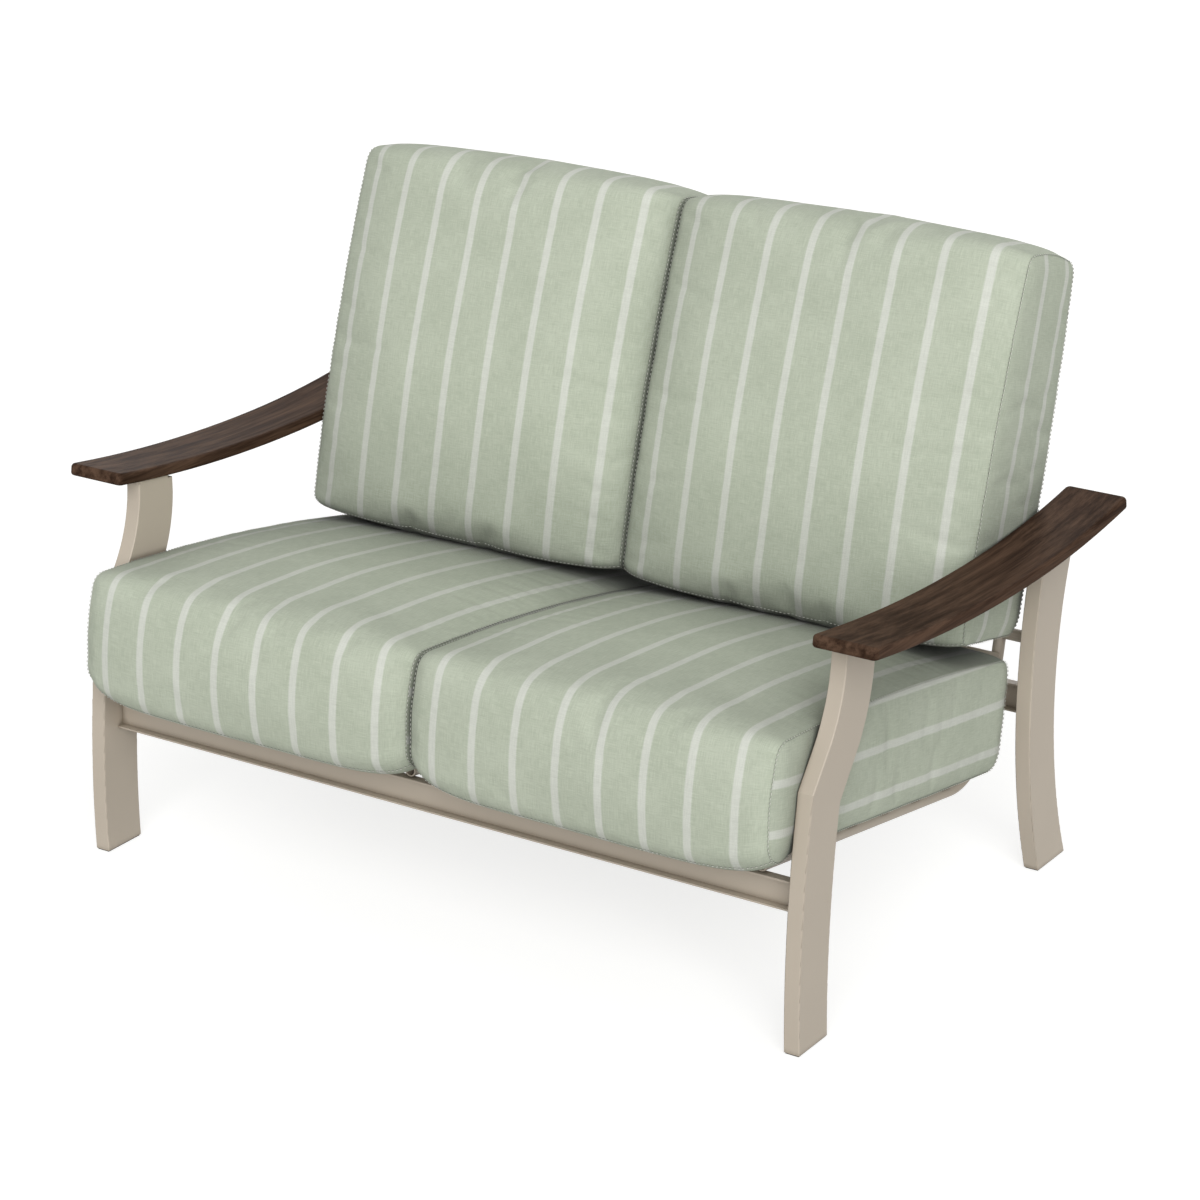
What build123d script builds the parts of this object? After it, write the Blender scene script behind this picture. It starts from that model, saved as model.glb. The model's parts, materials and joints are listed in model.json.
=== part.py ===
from build123d import *
import os
from math import cos, radians, sin, sqrt, tan

# Patio loveseat: a welded tube frame with two plank arms, two seat cushions and two back cushions.
# X runs along the seat, Y from front to back, Z up. Sizes are in millimetres, angles in degrees.
# While it is built, Y is zero at the front of the front feet. The last lines centre the whole on Y.
# Left and right are as seen from in front, so the right side is at positive X.

# Overall sizes
frame_width = 1270.0
arm_height = 604.0

# Legs, made from flat rectangular tube
leg_width = 25.4
leg_depth = 78.0
leg_wall = 2.5
leg_edge_radius = 2.0
front_leg_reach = 112.0
rear_waist_y = 676.0
rear_waist_depth = 81.0
rear_waist_height = 280.0
rear_foot_kick = 48.0
rear_foot_flare = 8.0
rear_top_lean = 57.0
rear_top_flare = 23.0

# Foot glides, plugged into the open leg bottoms
glide_thickness = 2.5
glide_inset = 2.0
glide_plug_height = 16.0

# Arm planks
arm_width = 102.0
arm_thickness = 19.0
arm_front_y = 64.5
arm_rear_y = 830.0
arm_low_y = 508.0
arm_front_rise = 35.0
arm_rear_rise = 25.5
arm_inner_overhang = 4.8
arm_top_edge_radius = 6.0
arm_under_edge_radius = 5.0
arm_corner_radius = 9.0

# Arm plates on the leg tops, threaded inserts in the arms, and screws
plate_thickness = 4.0
plate_width = 76.0
front_plate_depth = 76.0
rear_plate_depth = 94.0
plate_corner_radius = 8.0
insert_radius = 4.0
insert_length = 12.0
screw_radius = 2.5
screw_length = 14.0
screw_clearance = 0.3
screw_head_radius = 4.75
screw_head_height = 3.2
screw_head_edge_radius = 1.2
screw_socket_radius = 1.7
screw_socket_depth = 1.8
screw_spacing = 40.0
screw_side_distance = 20.0

# Rails, shallow channels that open forward
rail_height = 46.0
rail_depth = 16.0
rail_wall = 3.0
rail_edge_radius = 1.2
front_rail_y = 35.5
front_rail_top = 244.0
rear_rail_top = 293.0

# Round tubes that carry the seat and the back, each bent once
tube_radius = 9.5
tube_wall = 2.0
bend_radius = 110.0
side_tube_distance = 64.6
inner_tube_x = 55.0
seat_pitch = 9.4
back_lean = 13.0
tube_setback = 6.0
seat_tube_run = 652.5
back_tube_run = 722.0
stub_up = 228.6
top_tube_overhang = 30.0
end_cap_thickness = 3.0
end_cap_edge_radius = 1.0
end_cap_plug = 12.0

# Slats, flat bars across the bent tubes
slat_width = 32.0
slat_thickness = 3.0
slat_corner_radius = 5.0
seat_slat_count = 6
seat_slat_first = 45.0
seat_slat_last = 525.0
back_slat_count = 6
back_slat_first = 182.0
back_slat_last = 672.0

# Clearances
fit_clearance = 0.1
soft_clearance = 0.35

# Seat cushions, in the seat's own frame, at the cushion's middle
seat_side_gap = 4.85
seat_front = 112.0
seat_rear = 596.0
seat_front_height = 199.0
seat_rear_height = 207.0
seat_droop = 30.0
seat_droop_start = 18.0
seat_front_bow = 10.0
seat_top_bow = 26.0
seat_rear_bow = 7.0
seat_top_radius = 24.0
seat_front_under_radius = 62.0
seat_rear_under_radius = 30.0
# How far its outline is drawn in at the cushion's ends
seat_front_draw = 12.0
seat_rear_draw = 5.0
seat_top_draw = 9.0
seat_under_draw = 24.0

# Back cushions, in the back's own frame, at the cushion's middle
back_side_gap = 10.65
# How far the lower corners lie above the height of the seat cushion's rear
back_front_rise = 15.5
back_rear_rise = 19.5
back_front_top = 827.6
back_rear_top = 815.6
back_front_low = 254.0
back_front_high = 217.0
back_rear_low = 30.0
back_rear_high = 8.0
back_front_bow = 22.0
back_top_bow = 11.0
back_top_radius = 22.0
back_front_under_radius = 16.0
back_rear_under_radius = 34.0
# How far its outline is drawn in at the cushion's ends
back_front_low_draw = 24.0
back_front_high_draw = 45.0
back_top_draw = 12.0
back_rear_draw = 12.0
back_under_draw = 12.0

# Side outline of a front leg, from the floor up to the knee and from above the knee to the arm:
# shares of the leg's reach back, counted from the front or rear of the foot, and of the arm's height
front_low_shares = ((0.0, 0.0), (0.045, 0.374), (0.232, 0.639))
front_high_shares = ((0.616, 0.73), (0.893, 0.828), (1.0, 0.935))
rear_low_shares = ((0.0, 0.0), (0.049, 0.348), (0.214, 0.579))
rear_high_shares = ((0.652, 0.689), (0.911, 0.791), (1.01, 0.894))

# Where a cushion's cross-sections stand, from its middle to its end, as shares of its half width
station_shares = (0.0, 0.3, 0.55, 0.72, 0.84, 0.93, 1.0)
# The draw grows with this power of that share, and a front's draw with the lower one
draw_power = 7
front_draw_power = 4
# What is left of a bowed side at the cushion's ends
end_bow_share = 0.5
# How far towards its sharp corner a round corner's middle lies
round_corner_share = 0.414

# Values that follow from these sizes
arm_low_z = arm_height - arm_front_rise
leg_outer_x = frame_width / 2
leg_inner_x = leg_outer_x - leg_width
arm_inner_x = leg_inner_x - arm_inner_overhang
side_tube_x = leg_inner_x - side_tube_distance
seat_half_width = (leg_inner_x - soft_clearance - seat_side_gap) / 2
back_half_width = (leg_inner_x - soft_clearance - back_side_gap) / 2
back_front_bottom = seat_rear_height + back_front_rise
back_rear_bottom = seat_rear_height + back_rear_rise
seat_start_y = front_rail_y + rail_depth
seat_start_z = front_rail_top + (2 * tube_radius + slat_thickness) / cos(radians(seat_pitch))
tube_drop = slat_thickness + tube_radius
overrun = arm_thickness
right_angle = 90.0
# Alignments of a piece that stands on its own plane, and of one that lies below it
standing = (Align.CENTER, Align.CENTER, Align.MIN)
hanging = (Align.CENTER, Align.CENTER, Align.MAX)


def seat_point(along, above):
    """A point (y, z) in the seat's own frame: back along the slats from the front rail, and above them."""
    pitch = radians(seat_pitch)
    y = seat_start_y + along * cos(pitch) + above * sin(pitch)
    z = seat_start_z - along * sin(pitch) + above * cos(pitch)
    return y, z


def back_point(up, ahead):
    """A point (y, z) in the back's own frame: up the slats from the tubes' corner, and ahead of them."""
    lean = radians(back_lean)
    corner_y, corner_z = seat_point(seat_tube_run, -tube_drop)
    y = corner_y + up * sin(lean) - (ahead + tube_drop) * cos(lean)
    z = corner_z + up * cos(lean) + (ahead + tube_drop) * sin(lean)
    return y, z


def side_face(edges):
    """A face in the side view, from edges drawn in (y, z)."""
    return Plane.YZ * make_face(edges)


def across(face, start_x, end_x):
    """A side face pushed out along X from one place to another."""
    return extrude(Pos(start_x) * face, amount=end_x - start_x, dir=(1, 0, 0))


def other_side(shape):
    """The same piece on the left side."""
    return mirror(shape, about=Plane.YZ)


def keep_above(solid, height):
    return split(solid, Plane.XY.offset(height), keep=Keep.TOP)


def keep_below(solid, height):
    return split(solid, Plane.XY.offset(height), keep=Keep.BOTTOM)


# Arms

def arm_radius(y):
    """Radius of the arm's top at y. Two arcs meet at its lowest point."""
    reach, rise = arm_low_y - arm_front_y, arm_front_rise
    if y > arm_low_y:
        reach, rise = arm_rear_y - arm_low_y, arm_rear_rise
    return (reach ** 2 + rise ** 2) / (2 * rise)


def arm_point(y, depth):
    """The point (y, z) that lies a depth below the arm's top at y, measured square to it."""
    radius = arm_radius(y)
    slope_y = (y - arm_low_y) / radius
    slope_z = sqrt(1 - slope_y ** 2)
    return arm_low_y + (radius + depth) * slope_y, arm_low_z + radius - (radius + depth) * slope_z


def under_arm(y):
    """The plane that touches the arm's underside at y. Its own Z points down, away from the arm."""
    top_y, top_z = arm_point(y, 0)
    under_y, under_z = arm_point(y, arm_thickness)
    down = (0, under_y - top_y, under_z - top_z)
    return Plane(origin=(leg_inner_x, under_y, under_z), x_dir=(1, 0, 0), z_dir=down)


def screw_places(y):
    """The two places under the arm at y where its plate is screwed to it, outboard of the leg."""
    places = []
    for side in (-1, 1):
        place = Pos(leg_width + screw_side_distance, side * screw_spacing / 2)
        places.append(under_arm(y) * place)
    return places


def insert_bores(y):
    """The holes for the two threaded inserts at y."""
    bore = Cylinder(insert_radius + fit_clearance, insert_length, align=hanging)
    return [place * bore for place in screw_places(y)]


def upwardness(face):
    """How far a face's normal points up."""
    return face.normal_at().Z


def round_rim(faces, radius):
    """Rounds the rim of the arm's top or underside, but not the line where its two arcs meet."""
    rim = faces.edges().filter_by(lambda edge: abs(edge.center().Y - arm_low_y) > radius)
    return fillet(rim, radius)


def make_arm():
    """The right arm: a plank of even thickness that dips in the middle, with rounded corners and edges."""
    low_top, low_under = arm_point(arm_low_y, 0), arm_point(arm_low_y, arm_thickness)
    front_top, front_under = arm_point(arm_front_y, 0), arm_point(arm_front_y, arm_thickness)
    rear_top, rear_under = arm_point(arm_rear_y, 0), arm_point(arm_rear_y, arm_thickness)
    face = side_face([
        TangentArc(low_top, front_top, tangent=(-1, 0)),
        Line(front_top, front_under),
        TangentArc(low_under, front_under, tangent=(-1, 0)),
        TangentArc(low_under, rear_under, tangent=(1, 0)),
        Line(rear_under, rear_top),
        TangentArc(low_top, rear_top, tangent=(1, 0)),
    ])
    plank = across(face, arm_inner_x, arm_inner_x + arm_width)
    corners = plank.edges().filter_by(lambda edge: edge.length < 2 * arm_thickness)
    plank = fillet(corners, arm_corner_radius)
    plank = round_rim(plank.faces().sort_by(upwardness)[-2:], arm_top_edge_radius)
    plank = round_rim(plank.faces().sort_by(upwardness)[:2], arm_under_edge_radius)
    for y in (front_leg_mid_y, rear_leg_mid_y):
        plank -= insert_bores(y)
    return plank


def make_inserts():
    """The threaded inserts of one arm."""
    inserts = []
    for y in (front_leg_mid_y, rear_leg_mid_y):
        for place in screw_places(y):
            sleeve = Cylinder(insert_radius, insert_length, align=hanging)
            bore = Cylinder(screw_radius + fit_clearance, insert_length, align=hanging)
            inserts.append(place * (sleeve - bore))
    return inserts


def make_screws():
    """The screws of one arm: button heads under the plates, with a six-sided socket."""
    head = Cylinder(screw_head_radius, screw_head_height, align=standing)
    head = fillet(head.edges().sort_by(Axis.Z)[-1], screw_head_edge_radius)
    socket = extrude(RegularPolygon(screw_socket_radius, 6), screw_socket_depth)
    head -= Pos(Z=screw_head_height - screw_socket_depth) * socket
    screw = Pos(Z=plate_thickness) * (head + Cylinder(screw_radius, screw_length, align=hanging))
    return [place * screw for y in (front_leg_mid_y, rear_leg_mid_y) for place in screw_places(y)]


# Legs

def share_points(shares, start_y):
    """Outline points (y, z) of a front leg's edge."""
    return [(start_y + reach * front_leg_reach, up * arm_height) for reach, up in shares]


def front_leg_edge(low_shares, high_shares, start_y):
    """One edge of a front leg's outline, from under the floor to above the arm's underside."""
    low = share_points(low_shares, start_y)
    high = share_points(high_shares, start_y)
    start, end = (low[0][0], -overrun), (high[2][0], arm_height)
    curves = [
        Line(start, low[0]),
        ThreePointArc(*low),
        Line(low[2], high[0]),
        ThreePointArc(*high),
        Line(high[2], end),
    ]
    return start, curves, end


def rear_leg_edge(waist_y, kick, lean):
    """One edge of a rear leg's outline: an arc down from the waist to the foot, and one up from it."""
    waist = (waist_y, rear_waist_height)
    foot = (waist_y + kick, 0)
    start, end = (foot[0], -overrun), (waist_y + lean, arm_height)
    curves = [
        Line(start, foot),
        TangentArc(waist, foot, tangent=(0, -1)),
        TangentArc(waist, end, tangent=(0, 1)),
    ]
    return start, curves, end


def leg_outline(front_edge, rear_edge):
    """A leg's side outline, still too long at both ends."""
    front_start, front_curves, front_end = front_edge
    rear_start, rear_curves, rear_end = rear_edge
    ends = [Line(front_start, rear_start), Line(front_end, rear_end)]
    return side_face(front_curves + rear_curves + ends)


def inside(outline, distance):
    """The outline drawn in by a distance all round."""
    return offset(outline, amount=-distance, kind=Kind.TANGENT)


def make_leg(outline, mid_y):
    """A right leg: a flat tube, open at the bottom, cut off at the top against its plate."""
    leg = across(outline, leg_inner_x, leg_outer_x)
    leg = fillet(leg.faces().filter_by(Axis.X).edges(), leg_edge_radius)
    leg -= across(inside(outline, leg_wall), leg_inner_x + leg_wall, leg_outer_x - leg_wall)
    leg = keep_above(leg, glide_thickness)
    return split(leg, under_arm(mid_y).offset(plate_thickness), keep=Keep.TOP)


def make_glide(outline):
    """A foot glide: a pad under the leg, with a plug up inside it."""
    plug_inset = leg_wall + fit_clearance
    pad = across(inside(outline, glide_inset), leg_inner_x + glide_inset, leg_outer_x - glide_inset)
    pad = keep_below(keep_above(pad, 0), glide_thickness)
    plug = across(inside(outline, plug_inset), leg_inner_x + plug_inset, leg_outer_x - plug_inset)
    plug = keep_below(keep_above(plug, 0), glide_thickness + glide_plug_height)
    return pad + plug


def make_plate(mid_y, depth):
    """A plate welded on a leg top, with two screw holes outboard of the leg."""
    plate = Pos(plate_width / 2) * Box(plate_width, depth, plate_thickness, align=standing)
    plate = fillet(plate.edges().filter_by(Axis.Z), plate_corner_radius)
    plate = under_arm(mid_y) * plate
    hole = Cylinder(screw_radius + screw_clearance, plate_thickness, align=standing)
    return plate - [place * hole for place in screw_places(mid_y)]


front_leg_outline = leg_outline(
    front_leg_edge(front_low_shares, front_high_shares, 0),
    front_leg_edge(rear_low_shares, rear_high_shares, leg_depth),
)
rear_leg_outline = leg_outline(
    rear_leg_edge(rear_waist_y, rear_foot_kick, rear_top_lean),
    rear_leg_edge(
        rear_waist_y + rear_waist_depth,
        rear_foot_kick + rear_foot_flare,
        rear_top_lean + rear_top_flare,
    ),
)
front_leg_mid_y = front_leg_reach + leg_depth / 2
rear_top_share = ((arm_low_z - rear_waist_height) / (arm_height - rear_waist_height)) ** 2
rear_leg_mid_y = rear_waist_y + rear_waist_depth / 2 + (rear_top_lean + rear_top_flare / 2) * rear_top_share


# Rails

def make_rail(front_y, top_z):
    """A shallow channel between the two legs' inner faces, open to the front."""
    rear_y, bottom_z = front_y + rail_depth, top_z - rail_height
    outer = Pos((front_y + rear_y) / 2, (top_z + bottom_z) / 2) * Rectangle(rail_depth, rail_height)
    outer = fillet(outer.vertices(), rail_edge_radius)
    hollow_y = (front_y + rear_y) / 2 - rail_wall
    hollow = Pos(hollow_y, (top_z + bottom_z) / 2) * Rectangle(rail_depth, rail_height - 2 * rail_wall)
    return across(Plane.YZ * (outer - hollow), -leg_inner_x, leg_inner_x)


# Bent tubes, the tube across their tops, and stubs to the rear legs

def straight_rod(start_x, end_x, centre, radius):
    """A round rod along X about a centre (y, z)."""
    disc = Plane.YZ * (Pos(*centre) * Circle(radius))
    return across(disc, start_x, end_x)


def bent_rod(x, radius):
    """A round rod along a bent tube's centre line, still too long at the front."""
    path = FilletPolyline(
        seat_point(-rail_depth, -tube_drop),
        seat_point(seat_tube_run, -tube_drop),
        back_point(back_tube_run, -tube_drop),
        radius=bend_radius,
    )
    path = Pos(x) * (Plane.YZ * path)
    return sweep(Plane(origin=path @ 0, z_dir=path % 0) * Circle(radius), path=path)


def make_bent_tube(x):
    """A tube that rests on the front rail and runs back under the seat and up behind the back."""
    tube = bent_rod(x, tube_radius) - bent_rod(x, tube_radius - tube_wall)
    tube = split(tube, Plane(origin=(0, front_rail_y + tube_setback, 0), z_dir=(0, 1, 0)), keep=Keep.TOP)
    return tube - straight_rod(-top_half_length, top_half_length, top_centre, tube_radius)


def make_top_tube():
    """The tube across the tops of the bent tubes."""
    outer = straight_rod(-top_half_length, top_half_length, top_centre, tube_radius)
    return outer - straight_rod(-top_half_length, top_half_length, top_centre, tube_radius - tube_wall)


def make_end_cap():
    """The plug in the top tube's right end."""
    start_x, end_x = top_half_length - end_cap_plug, top_half_length + end_cap_thickness
    cap = straight_rod(top_half_length, end_x, top_centre, tube_radius)
    cap = fillet(cap.edges().sort_by(Axis.X)[-1], end_cap_edge_radius)
    return cap + straight_rod(start_x, end_x, top_centre, tube_radius - tube_wall - fit_clearance)


def make_stub():
    """A short tube from the right bent tube to the rear leg, cut to fit round the bent tube."""
    centre = back_point(stub_up, -tube_drop)
    stub = straight_rod(side_tube_x, leg_inner_x, centre, tube_radius)
    stub -= straight_rod(side_tube_x, leg_inner_x, centre, tube_radius - tube_wall)
    stub -= bent_rod(side_tube_x, tube_radius)
    return stub.solids().sort_by(Axis.X)[-1]


def tube_rear_y(height):
    """Y of the bent tubes' rear side at a height above their bends."""
    corner_y, corner_z = seat_point(seat_tube_run, -tube_drop)
    lean = radians(back_lean)
    return corner_y + (height - corner_z) * tan(lean) + tube_radius / cos(lean)


top_centre = back_point(back_tube_run, -tube_drop)
top_half_length = side_tube_x + top_tube_overhang


# Slats

def make_slat(point, turn):
    """A flat bar across the bent tubes, with its upper face's middle at a point (y, z)."""
    slat = Box(2 * (side_tube_x + tube_radius), slat_width, slat_thickness, align=hanging)
    slat = fillet(slat.edges().filter_by(Axis.Z), slat_corner_radius)
    return Pos(0, *point) * Rot(X=turn) * slat


def even_places(first, last, count):
    return [first + (last - first) * step / (count - 1) for step in range(count)]


# Cushions

def round_outline(corners, bows, radii):
    """A closed outline of bowed sides and round corners, from sharp corners given in turn.

    Each bow is the outward height of the side that leaves its corner. A side with no bow is a line.
    """
    centre = sum(corners, Vector()) / len(corners)
    starts, ends, edges = [], [], []
    for index, corner in enumerate(corners):
        after, before = corners[(index + 1) % len(corners)], corners[index - 1]
        starts.append(corner + (after - corner).normalized() * radii[index])
        ends.append(corner + (before - corner).normalized() * radii[index])
    for index, corner in enumerate(corners):
        start, end = starts[index], ends[(index + 1) % len(corners)]
        middle = (start + end) / 2
        outward = (end - start).normalized().cross(Vector(0, 0, 1))
        if outward.dot(middle - centre) < 0:
            outward = -outward
        chord_middle = (ends[index] + starts[index]) / 2
        corner_middle = chord_middle + (corner - chord_middle) * round_corner_share
        edges.append(ThreePointArc(ends[index], corner_middle, starts[index]))
        if bows[index]:
            edges.append(ThreePointArc(start, middle + outward * bows[index], end))
        else:
            edges.append(Line(start, end))
    return make_face(edges)


def stations(half_width):
    """Each cross-section of a cushion: its X, how far it and its front are drawn in, and what bow is left."""
    shares = [-share for share in reversed(station_shares[1:])] + list(station_shares)
    for share in shares:
        bow = end_bow_share + (1 - end_bow_share) * (1 - share ** 2)
        draw, front_draw = abs(share) ** draw_power, abs(share) ** front_draw_power
        yield soft_clearance + half_width * (1 + share), draw, front_draw, bow


def make_seat_cushion():
    """The right seat cushion: crowned on top, drawn in at both ends, and drooping in front of the rail."""
    sections = []
    for x, draw, front_draw, bow in stations(seat_half_width):
        front = seat_front_draw * front_draw - seat_front
        rear = seat_rear - seat_rear_draw * draw
        under = soft_clearance + seat_under_draw * draw
        corners = [
            Vector(*seat_point(front, under - seat_droop)),
            Vector(*seat_point(front, seat_front_height - seat_top_draw * draw)),
            Vector(*seat_point(rear, seat_rear_height - seat_top_draw * draw)),
            Vector(*seat_point(rear, under)),
            Vector(*seat_point(-seat_droop_start, under)),
        ]
        bows = (seat_front_bow * bow, seat_top_bow * bow, seat_rear_bow * bow, 0, 0)
        radii = (
            seat_front_under_radius,
            seat_top_radius,
            seat_top_radius,
            seat_rear_under_radius,
            seat_droop_start,
        )
        sections.append(Pos(x) * (Plane.YZ * round_outline(corners, bows, radii)))
    return loft(sections)


def bow_to_slats(low, high):
    """The bow that brings a side down to the slats, from how far its two ends are ahead of them."""
    middle = (low + high) / 2 - soft_clearance
    return (middle + sqrt(middle ** 2 - (low - high) ** 2 / 4)) / 2


def make_back_cushion():
    """The right back cushion: its front and top bow out, and its rear bows back against the slats."""
    sections = []
    rear_bow = bow_to_slats(back_rear_low, back_rear_high)
    for x, draw, front_draw, bow in stations(back_half_width):
        top, rear, under = back_top_draw * draw, back_rear_draw * draw, back_under_draw * front_draw
        front_low = back_front_low - back_front_low_draw * front_draw
        front_high = back_front_high - back_front_high_draw * front_draw
        corners = [
            Vector(*back_point(back_front_bottom + under, front_low)),
            Vector(*back_point(back_front_top - top, front_high)),
            Vector(*back_point(back_rear_top - top, back_rear_high + rear)),
            Vector(*back_point(back_rear_bottom + under, back_rear_low + rear)),
        ]
        bows = (back_front_bow * bow, back_top_bow * bow, rear_bow * bow, 0)
        radii = (back_front_under_radius, back_top_radius, back_top_radius, back_rear_under_radius)
        sections.append(Pos(x) * (Plane.YZ * round_outline(corners, bows, radii)))
    return loft(sections)


# The whole, one entry for each piece or group of like fasteners

pieces = {}


def add_pair(name, shape):
    """Adds a right piece and the same on the left."""
    pieces[name + "_right"] = shape
    pieces[name + "_left"] = other_side(shape)


add_pair("front_leg", make_leg(front_leg_outline, front_leg_mid_y))
add_pair("rear_leg", make_leg(rear_leg_outline, rear_leg_mid_y))
add_pair("front_glide", make_glide(front_leg_outline))
add_pair("rear_glide", make_glide(rear_leg_outline))
add_pair("front_arm_plate", make_plate(front_leg_mid_y, front_plate_depth))
add_pair("rear_arm_plate", make_plate(rear_leg_mid_y, rear_plate_depth))
add_pair("arm", make_arm())
add_pair("outer_tube", make_bent_tube(side_tube_x))
add_pair("inner_tube", make_bent_tube(inner_tube_x))
add_pair("tube_stub", make_stub())
add_pair("top_tube_cap", make_end_cap())
add_pair("seat_cushion", make_seat_cushion())
add_pair("back_cushion", make_back_cushion())

pieces["front_rail"] = make_rail(front_rail_y, front_rail_top)
pieces["rear_rail"] = make_rail(tube_rear_y(rear_rail_top), rear_rail_top)
pieces["top_tube"] = make_top_tube()

for number, along in enumerate(even_places(seat_slat_first, seat_slat_last, seat_slat_count), 1):
    pieces[f"seat_slat_{number}"] = make_slat(seat_point(along, 0), -seat_pitch)
for number, up in enumerate(even_places(back_slat_first, back_slat_last, back_slat_count), 1):
    pieces[f"back_slat_{number}"] = make_slat(back_point(up, 0), right_angle - back_lean)

right_inserts, right_screws = make_inserts(), make_screws()
pieces["arm_inserts"] = Compound(right_inserts + [other_side(insert) for insert in right_inserts])
pieces["arm_screws"] = Compound(right_screws + [other_side(screw) for screw in right_screws])

# Y is centred on the whole piece, and each piece is written out

boxes = [shape.bounding_box() for shape in pieces.values()]
middle_y = (min(box.min.Y for box in boxes) + max(box.max.Y for box in boxes)) / 2
print("centred by", middle_y)

os.makedirs("parts", exist_ok=True)
for name, shape in pieces.items():
    export_step(Pos(Y=-middle_y) * shape, f"parts/{name}.step")
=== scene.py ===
"""Patio loveseat: its finishes and cushions, made around the packed frame.

The file is laid out as an add-on. Run as a script, it makes everything once, in order.
"""

import json
import math

import bpy
import numpy as np
from bpy.props import FloatProperty, FloatVectorProperty, IntProperty, PointerProperty
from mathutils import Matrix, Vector, noise


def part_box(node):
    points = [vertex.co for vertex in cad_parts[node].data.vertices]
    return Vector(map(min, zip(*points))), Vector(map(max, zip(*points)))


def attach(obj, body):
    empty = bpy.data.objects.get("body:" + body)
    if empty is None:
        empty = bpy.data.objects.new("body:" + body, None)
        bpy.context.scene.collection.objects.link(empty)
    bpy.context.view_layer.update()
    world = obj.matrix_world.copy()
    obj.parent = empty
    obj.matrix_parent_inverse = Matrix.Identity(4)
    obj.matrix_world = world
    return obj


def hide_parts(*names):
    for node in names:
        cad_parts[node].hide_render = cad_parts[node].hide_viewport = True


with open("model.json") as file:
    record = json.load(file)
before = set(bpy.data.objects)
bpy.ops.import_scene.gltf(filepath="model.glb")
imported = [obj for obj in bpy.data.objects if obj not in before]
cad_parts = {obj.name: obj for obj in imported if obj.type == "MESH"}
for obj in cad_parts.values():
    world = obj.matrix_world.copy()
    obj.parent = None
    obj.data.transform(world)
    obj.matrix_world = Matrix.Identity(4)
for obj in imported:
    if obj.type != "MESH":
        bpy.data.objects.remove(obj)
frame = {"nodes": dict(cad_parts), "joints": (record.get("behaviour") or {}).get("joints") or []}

bl_info = {
    "name": "Patio loveseat",
    "version": (1, 0, 0),
    "blender": (4, 5, 0),
    "location": "View3D > Sidebar > Loveseat",
    "description": "Finishes, cushions and stage of a patio loveseat, around its packed frame",
    "category": "Object",
}

CLOTH_MAP = "cloth"
SEAM_DISTANCE = "seam_distance"
SIDES = ("right", "left")
SEAT_SLATS = [f"seat_slat_{number}" for number in range(1, 7)]
BACK_SLATS = [f"back_slat_{number}" for number in range(1, 7)]
PAINTED = (
    [f"{piece}_{side}" for side in SIDES for piece in (
        "front_leg", "rear_leg", "front_arm_plate", "rear_arm_plate",
        "outer_tube", "inner_tube", "tube_stub",
    )]
    + ["front_rail", "rear_rail", "top_tube"]
    + SEAT_SLATS + BACK_SLATS
)
MOULDED = [f"{piece}_{side}" for side in SIDES for piece in ("front_glide", "rear_glide", "top_tube_cap")]


def srgb(red, green, blue):
    """A colour given on the usual 0 to 255 scale, as a shader takes it."""
    def linear(level):
        share = level / 255
        return share / 12.92 if share <= 0.04045 else ((share + 0.055) / 1.055) ** 2.4
    return tuple(linear(level) for level in (red, green, blue))


def colour(label, text, default):
    return FloatVectorProperty(
        name=label, description=text, subtype="COLOR", size=3, min=0, max=1, default=default,
    )


def plain_number(label, text, default):
    return FloatProperty(name=label, description=text, default=default)


def length(label, text, default):
    return FloatProperty(name=label, description=text, unit="LENGTH", default=default)


def share(label, text, default):
    return FloatProperty(name=label, description=text, subtype="FACTOR", min=0, max=1, default=default)


def angle(label, text, default):
    return FloatProperty(name=label, description=text, subtype="ANGLE", default=math.radians(default))


class ClothSettings(bpy.types.PropertyGroup):
    """Striped cloth of the cushions."""
    ground: colour("Ground", "Sage ground between the stripes", srgb(195, 202, 184))
    ground_dark: colour("Ground shade", "Darker yarns in the ground", srgb(174, 182, 163))
    stripe: colour("Stripe", "Narrow pale stripes", srgb(216, 219, 209))
    stripe_dark: colour("Stripe shade", "Darker yarns in the stripes", srgb(201, 204, 194))
    thread: colour("Thread", "Sewing thread of the seams", srgb(226, 228, 216))
    stripe_pitch: length("Stripe pitch", "From one stripe's middle to the next", 0.072)
    stripe_width: length("Stripe width", "Width of a stripe", 0.0125)
    stripe_edge: length("Stripe edge", "How far a stripe's edge fades", 0.0030)
    yarn: length("Yarn", "From one yarn to the next", 0.0013)
    slub: length("Slub", "Length of a thick stretch of yarn", 0.022)
    seam_line: length("Seam line", "Half the width of the crease along a seam", 0.0012)
    fold_reach: length("Fold reach", "How far out of a deep fold the cloth is darker", 0.28)
    fold_shade: share("Fold shade", "How much darker the cloth is where it is shut in all round", 0.78)
    touch_reach: length("Touch reach", "How far from where two cushions meet the cloth is darker", 0.06)
    touch_shade: share("Touch shade", "How much darker the cloth is where two cushions meet", 0.32)


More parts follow.
